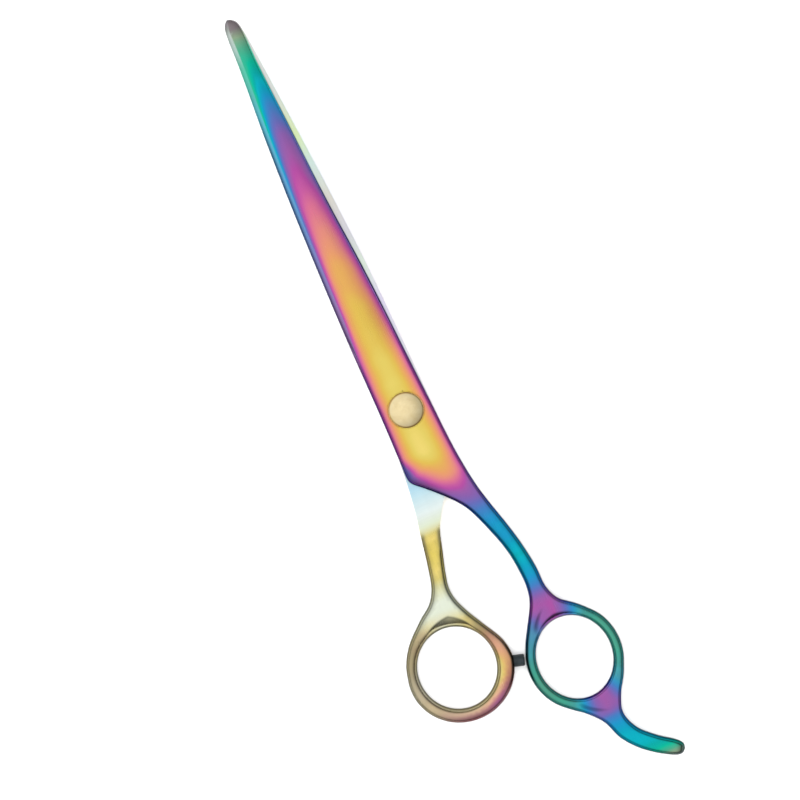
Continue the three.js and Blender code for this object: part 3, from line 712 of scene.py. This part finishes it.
class Nodes:
    """Short ways to add and join shader nodes."""

    def __init__(self, name):
        self.material = bpy.data.materials.new(name)
        self.material.use_nodes = True
        self.tree = self.material.node_tree
        self.shader = self.tree.nodes["Principled BSDF"]

    def add(self, kind, **settings):
        node = self.tree.nodes.new(kind)
        for key, value in settings.items():
            setattr(node, key, value)
        return node

    def join(self, source, target):
        self.tree.links.new(source, target)

    def fill(self, socket, value):
        if isinstance(value, bpy.types.NodeSocket):
            self.join(value, socket)
        else:
            socket.default_value = value

    def add_position(self, axis):
        """A point's place along an axis of the object, in metres."""
        split = self.add("ShaderNodeSeparateXYZ")
        self.join(self.add("ShaderNodeTexCoord").outputs["Object"], split.inputs[0])
        return split.outputs[axis]

    def attribute(self, name):
        return self.add("ShaderNodeAttribute", attribute_name=name).outputs["Fac"]

    def math(self, operation, a, b):
        node = self.add("ShaderNodeMath", operation=operation)
        self.fill(node.inputs[0], a)
        self.fill(node.inputs[1], b)
        return node.outputs[0]

    def span(self, value, a, b, c, d):
        """A value's range from a to b, stretched to run from c to d."""
        node = self.add("ShaderNodeMapRange")
        for i, v in enumerate((value, a, b, c, d)):
            self.fill(node.inputs[i], v)
        return node.outputs[0]

    def ramp(self, value, table):
        """A colour by a value, from a table of (value, web colour)."""
        low, high = table[0][0], table[-1][0]
        node = self.add("ShaderNodeValToRGB")
        stops = node.color_ramp.elements
        for i, (at, code) in enumerate(table):
            place = (at - low) / (high - low)
            stop = stops.new(place) if 0 < i < len(table) - 1 else stops[0 if i == 0 else -1]
            stop.position = place
            stop.color = srgb(code)
        self.join(self.span(value, low, high, 0, 1), node.inputs[0])
        return node.outputs["Color"]

    def mix(self, share, a, b, blend="MIX"):
        node = self.add("ShaderNodeMix", data_type="RGBA", blend_type=blend)
        self.fill(node.inputs["Factor"], share)
        self.fill(node.inputs["A"], a)
        self.fill(node.inputs["B"], b)
        return node.outputs["Result"]

    def noise(self, scale, stretch=(1, 1, 1), detail=3.0, roughness=0.5):
        """Procedural noise in the object's own space."""
        place = self.add("ShaderNodeTexCoord").outputs["Object"]
        mapping = self.add("ShaderNodeMapping")
        mapping.inputs["Scale"].default_value = stretch
        self.join(place, mapping.inputs["Vector"])
        node = self.add("ShaderNodeTexNoise")
        node.inputs["Scale"].default_value = scale
        node.inputs["Detail"].default_value = detail
        node.inputs["Roughness"].default_value = roughness
        self.join(mapping.outputs[0], node.inputs["Vector"])
        return node.outputs["Fac"]

    def bump(self, *layers):
        """Each layer is a height, a strength and a depth in metres."""
        normal = None
        for height, strength, depth in layers:
            node = self.add("ShaderNodeBump")
            node.inputs["Strength"].default_value = strength
            node.inputs["Distance"].default_value = depth
            self.fill(node.inputs["Height"], height)
            if normal is not None:
                self.join(normal, node.inputs["Normal"])
            normal = node.outputs[0]
        self.join(normal, self.shader.inputs["Normal"])

    def set(self, **values):
        for key, value in values.items():
            self.fill(self.shader.inputs[key.replace("_", " ")], value)
        return self.material


def rainbow_coating(name, ring_tone, ring_share, painted_shade_tone, painted_shade_share, painted_shade_strength):
    """A thin hard film over polished steel, bare where the inner faces were ground after coating.

    A tone is mixed into the rings, and a painted shade tone into the rims, each by its share."""
    n = Nodes(name)
    drift = n.span(n.noise(90, detail=2), 0.3, 0.7, -0.014, 0.014)
    film = n.math("ADD", n.attribute("film"), drift)
    colour = n.ramp(film, FILM_COLOURS)
    # the spine's bevel is paler, and the rings' film is duller
    colour = n.mix(n.math("MULTIPLY", n.attribute("strip"), 0.14), colour, srgb("dfe4ea"))
    colour = n.mix(n.math("MULTIPLY", n.attribute("ring"), ring_share), colour, srgb(ring_tone))
    # painted shade: on the rims the colour is darkened by 66647c and mixed with a dark tone
    painted_rim_shade = n.math("MULTIPLY", n.attribute("painted_rim_shade"), painted_shade_strength)
    shaded = n.mix(painted_shade_share, n.mix(1.0, colour, srgb("66647c"), "MULTIPLY"), srgb(painted_shade_tone))
    colour = n.mix(painted_rim_shade, colour, shaded)
    # painted shade: a dark reddish brown on the thumb ring's outer low side
    colour = n.mix(n.math("MULTIPLY", n.attribute("painted_reddish_shade"), 0.8), colour, srgb("7b4a52"))
    grind = n.noise(260, (6, 0.35, 1), detail=2, roughness=0.7)
    steel = n.ramp(n.add_position("X"), GROUND_TINTS)
    steel = n.mix(n.span(grind, 0.3, 0.7, 0, 0.12), steel, srgb("c2c6c8"))
    colour = n.mix(n.attribute("bare"), colour, steel)
    fine = n.noise(420, (0.25, 3.2, 3.2), detail=4, roughness=0.65)
    blotch = n.noise(60, detail=3)
    rough = n.math("ADD", n.span(fine, 0.3, 0.7, 0.17, 0.25), n.span(blotch, 0.35, 0.65, 0, 0.05))
    rough = n.math("ADD", rough, n.math("MULTIPLY", n.attribute("bare"), 0.08))
    n.bump((n.noise(24, detail=2), 0.12, 0.0004), (fine, 0.10, 0.00002))
    # painted shade: the rims' specular tint is dark, so steep walls stay dark
    painted_shade_tint = n.mix(painted_rim_shade, (1.0, 1.0, 1.0, 1.0), (0.08, 0.08, 0.1, 1.0))
    return n.set(Base_Color=colour, Metallic=1.0, Roughness=rough, Specular_Tint=painted_shade_tint)


def bright_metal(name, code, dark, rough):
    """Turned and polished metal, with fine rings from the lathe, and a deeper tone painted on an edge as
    shade.
    """
    n = Nodes(name)
    place = n.add("ShaderNodeTexCoord").outputs["Object"]
    wave = n.add("ShaderNodeTexWave", wave_type="RINGS", rings_direction="Z")
    wave.inputs["Scale"].default_value = LATHE_RINGS
    wave.inputs["Distortion"].default_value = 0.6
    n.join(place, wave.inputs["Vector"])
    blotch = n.noise(400, detail=3)
    colour = n.mix(n.span(blotch, 0.35, 0.7, 0, 0.5), srgb(code), srgb(dark))
    colour = n.mix(n.attribute("edge"), colour, srgb(HEAD_BEVEL_PAINTED_SHADE))
    roughness = n.span(blotch, 0.3, 0.7, rough, rough + 0.1)
    n.bump((wave.outputs["Fac"], 0.06, 0.00001), (blotch, 0.05, 0.00003))
    return n.set(Base_Color=colour, Metallic=1.0, Roughness=roughness)


def soft_material(name, code, light, rough, grain, depth):
    """Nylon or rubber: a plain colour with moulding grain and scuffs."""
    n = Nodes(name)
    grainy = n.noise(grain, detail=4)
    scuff = n.noise(grain * 0.18, detail=5, roughness=0.7)
    colour = n.mix(n.span(scuff, 0.45, 0.75, 0, 0.6), srgb(code), srgb(light))
    n.bump((grainy, 0.35, depth), (scuff, 0.2, depth * 3))
    return n.set(Base_Color=colour, Metallic=0.0, Roughness=n.span(scuff, 0.3, 0.7, rough, rough + 0.15))


# ---- Small parts ----------------------------------------------------------------------------

def turned(name, profile, count):
    """A profile of (radius, z) that starts and ends on the Z axis, turned about it."""
    turns = np.linspace(0, 2 * math.pi, count, endpoint=False)
    rings, verts, faces = [], [], []
    for r, z in profile:
        if r < TINY:
            rings.append([len(verts)])
            verts.append((0, 0, z))
        else:
            rings.append(list(range(len(verts), len(verts) + count)))
            verts += [(r * math.cos(a), r * math.sin(a), z) for a in turns]
    for a, b in zip(rings[:-1], rings[1:]):
        for i in range(count):
            j = (i + 1) % count
            if len(a) == 1:
                faces.append((a[0], b[j], b[i]))
            elif len(b) == 1:
                faces.append((a[i], a[j], b[0]))
            else:
                faces.append((a[i], a[j], b[j], b[i]))
    return make_mesh(name, verts, faces, {}, TURNED_SHARP)


def screw():
    """A low domed head, a bright shank and the thread that the nut runs on."""
    base, top, radius = HEAD_BASE_Z, HEAD_TOP_Z, HEAD_R
    profile = [(0, 0.0), (1.4, 0.0), (THREAD_ROOT_R, 0.16)]
    for i in range(THREAD_TURNS):
        z = 0.3 + i * THREAD_PITCH
        profile += [(THREAD_R, z), (THREAD_ROOT_R, z + THREAD_PITCH / 2)]
    profile += [(THREAD_R, 1.6), (SHANK_R - 0.02, 1.72), (SHANK_R, 1.8), (SHANK_R, base - 0.1)]
    profile += [(SHANK_R + 0.15, base), (radius - HEAD_ROUND, base)]
    profile += ellipse((radius - HEAD_ROUND, base + HEAD_ROUND, HEAD_ROUND, HEAD_ROUND), -90, 0, 5)[1:]
    # the head's side leans in from its widest place to the bevel, where the dome starts
    bevel_r, bevel_z = radius - 0.3, base + 0.72
    profile += [(radius, base + 0.42), (radius - 0.05, base + 0.5), (bevel_r + 0.06, bevel_z - 0.04)]
    rise = top - bevel_z
    curve = (bevel_r ** 2 + rise ** 2) / (2 * rise)
    for r in np.linspace(bevel_r - 0.03, 0, 18):
        profile.append((r, top - curve + math.sqrt(curve ** 2 - r ** 2)))
    obj = turned("pivot_screw_turned", profile, 96)
    points = np.array([v.co[:2] for v in obj.data.vertices]) / MM
    # painted shade: the head's bevel and side take the deeper edge tone
    edge = smoothstep(np.hypot(*points.T), bevel_r - 0.3, bevel_r + 0.1).astype(np.float32)
    obj.data.attributes.new("edge", "FLOAT", "POINT").data.foreach_set("value", edge)
    return obj


def rubber_stop():
    """The stop on the thumb ring: a round rubber stud with a soft edge, on its slanted line."""
    r, soft, foot, crown = BUMPER_R, 0.45, -0.9, BUMPER_LENGTH + 0.02
    profile = [(0, foot), (r - 0.1, foot), (r, foot + 0.1)]
    profile += ellipse((r - soft, BUMPER_LENGTH - soft, soft, soft), 0, 90, 8)
    profile += [(0.8, crown), (0, crown)]
    obj = turned("rubber_stop", profile, 48)
    place = Matrix.Rotation(BUMPER_ANGLE, 4, "Z") @ Matrix.Translation((BUMPER_REACH * MM, 0, 0))
    place = Matrix.Translation((THUMB_HOLE[0] * MM, THUMB_HOLE[1] * MM, HANDLE_HEIGHT / 2 * MM)) @ place
    obj.data.transform(place @ Matrix.Rotation(math.pi / 2, 4, "Y"))
    return obj


# ---- Scene ----------------------------------------------------------------------------------

# The studio, in metres.
BRIGHT_WAY = Vector((0.2, 0.27, 1.0)).normalized()  # the sky is brightest here
SKY_LOW, SKY_HIGH = (0.20, 0.20, 0.21, 1), (1.16, 1.16, 1.16, 1)  # square to that way, and along it
SKY_STEPS = ((0.3, 0.34), (0.6, 0.68), (0.85, 1.04))  # between the two: the cosine, and how bright
FLOOR_REACH, FLOOR_Z = 3.0, -0.0001
LAMPS = (("key", (0.12, 0.2, 1.0), 11.0), ("fill", (-0.3, -0.2, 1.0), 6.0))  # name, place, power
LAMP_SIZE = 1.1

# The camera, in metres: the place that it is straight above, its height over that, the width in view
# there, and its turn.
VIEW_X, VIEW_Y, VIEW_Z = 3.06 * MM, 0.36 * MM, 5 * MM
VIEW_HEIGHT, VIEW_WIDTH, VIEW_TURN = 1.0, 0.2112, math.radians(-114.3)


def studio():
    """A pale floor, a soft sky that is darker near the horizon, and two large soft lamps."""
    world = bpy.data.worlds.new("studio")
    bpy.context.scene.world = world
    world.use_nodes = True
    tree = world.node_tree
    back = tree.nodes["Background"]
    place = tree.nodes.new("ShaderNodeTexCoord")
    lean = tree.nodes.new("ShaderNodeVectorMath")
    lean.operation = "DOT_PRODUCT"
    lean.inputs[1].default_value = BRIGHT_WAY
    ramp = tree.nodes.new("ShaderNodeValToRGB")
    tree.links.new(place.outputs["Generated"], lean.inputs[0])
    tree.links.new(lean.outputs["Value"], ramp.inputs[0])
    tree.links.new(ramp.outputs[0], back.inputs["Color"])
    stops = ramp.color_ramp.elements
    stops[0].position, stops[0].color = 0.0, SKY_LOW
    stops[1].position, stops[1].color = 1.0, SKY_HIGH
    for at, value in SKY_STEPS:
        stops.new(at).color = (value, value, value, 1)
    back.inputs["Strength"].default_value = 1.0
    floor_mesh = bpy.data.meshes.new("floor")
    corners = [(x * FLOOR_REACH, y * FLOOR_REACH, FLOOR_Z) for x, y in ((-1, -1), (1, -1), (1, 1), (-1, 1))]
    floor_mesh.from_pydata(corners, [], [(0, 1, 2, 3)])
    floor = bpy.data.objects.new("floor", floor_mesh)
    bpy.context.scene.collection.objects.link(floor)
    n = Nodes("pale_floor")
    grain = n.noise(200, detail=3)
    floor_mesh.materials.append(n.set(Base_Color=n.mix(grain, srgb("f6f6f6"), srgb("fafafa")), Roughness=0.9))
    for name, spot, power in LAMPS:
        lamp = bpy.data.lights.new(name, "AREA")
        lamp.shape = "DISK"
        lamp.size = LAMP_SIZE
        lamp.energy = power
        obj = bpy.data.objects.new(name, lamp)
        obj.location = spot
        obj.rotation_euler = (-Vector(spot)).to_track_quat("-Z", "Y").to_euler()
        obj.visible_glossy = False
        bpy.context.scene.collection.objects.link(obj)
    bpy.context.scene.view_settings.view_transform = "Standard"


def camera():
    """Straight above the shears, which lie with their tips up and to the left."""
    data = bpy.data.cameras.new("camera")
    data.sensor_width = 36.0
    data.lens = data.sensor_width * VIEW_HEIGHT / VIEW_WIDTH
    obj = bpy.data.objects.new("camera", data)
    obj.location = (VIEW_X, VIEW_Y, VIEW_HEIGHT + VIEW_Z)
    obj.rotation_euler = (0, 0, VIEW_TURN)
    bpy.context.scene.collection.objects.link(obj)
    bpy.context.scene.camera = obj


def dress(obj, material):
    """Give an object one material, in place of any that it had."""
    obj.data.materials.clear()
    obj.data.materials.append(material)


camera()
studio()

# each coating: a name, the rings' tone and share, then the painted rim shade's tone, share and strength
front_coating = rainbow_coating("rainbow_coating", "688880", 0.45, "2a3c4e", 0.28, 0.8)
rear_coating = rainbow_coating("gold_rainbow_coating", "ccb8a8", 0.74, "6e6e58", 0.8, 0.85)
gold = bright_metal("pale_gold", "ead9ac", "dcc38c", 0.16)
steel = bright_metal("plain_steel", "c9ccd0", "a5a9ae", 0.28)
brass = bright_metal("turned_brass", "c9a24f", "a88238", 0.3)
nylon = soft_material("white_nylon", "efeee8", "dcdbd2", 0.45, 2500, 0.00002)
rubber = soft_material("black_rubber", "10191c", "2e3a40", 0.5, 2600, 0.00003)

front = straight_half()
dress(front, front_coating)
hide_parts("straight_blade")
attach(front, "straight_half")

rear = comb_half()
dress(rear, rear_coating)
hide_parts("comb_blade")
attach(rear, "comb_half")

head = screw()
dress(head, gold)
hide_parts("pivot_screw")
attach(head, "comb_half")

stop = rubber_stop()
dress(stop, rubber)
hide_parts("bumper")
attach(stop, "comb_half")

for node, material in (("pivot_bush", brass), ("head_washer", nylon), ("spring_washer", steel),
                       ("nut_washer", steel), ("lock_nut", gold), ("nut_lock_ring", nylon)):
    dress(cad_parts[node], material)
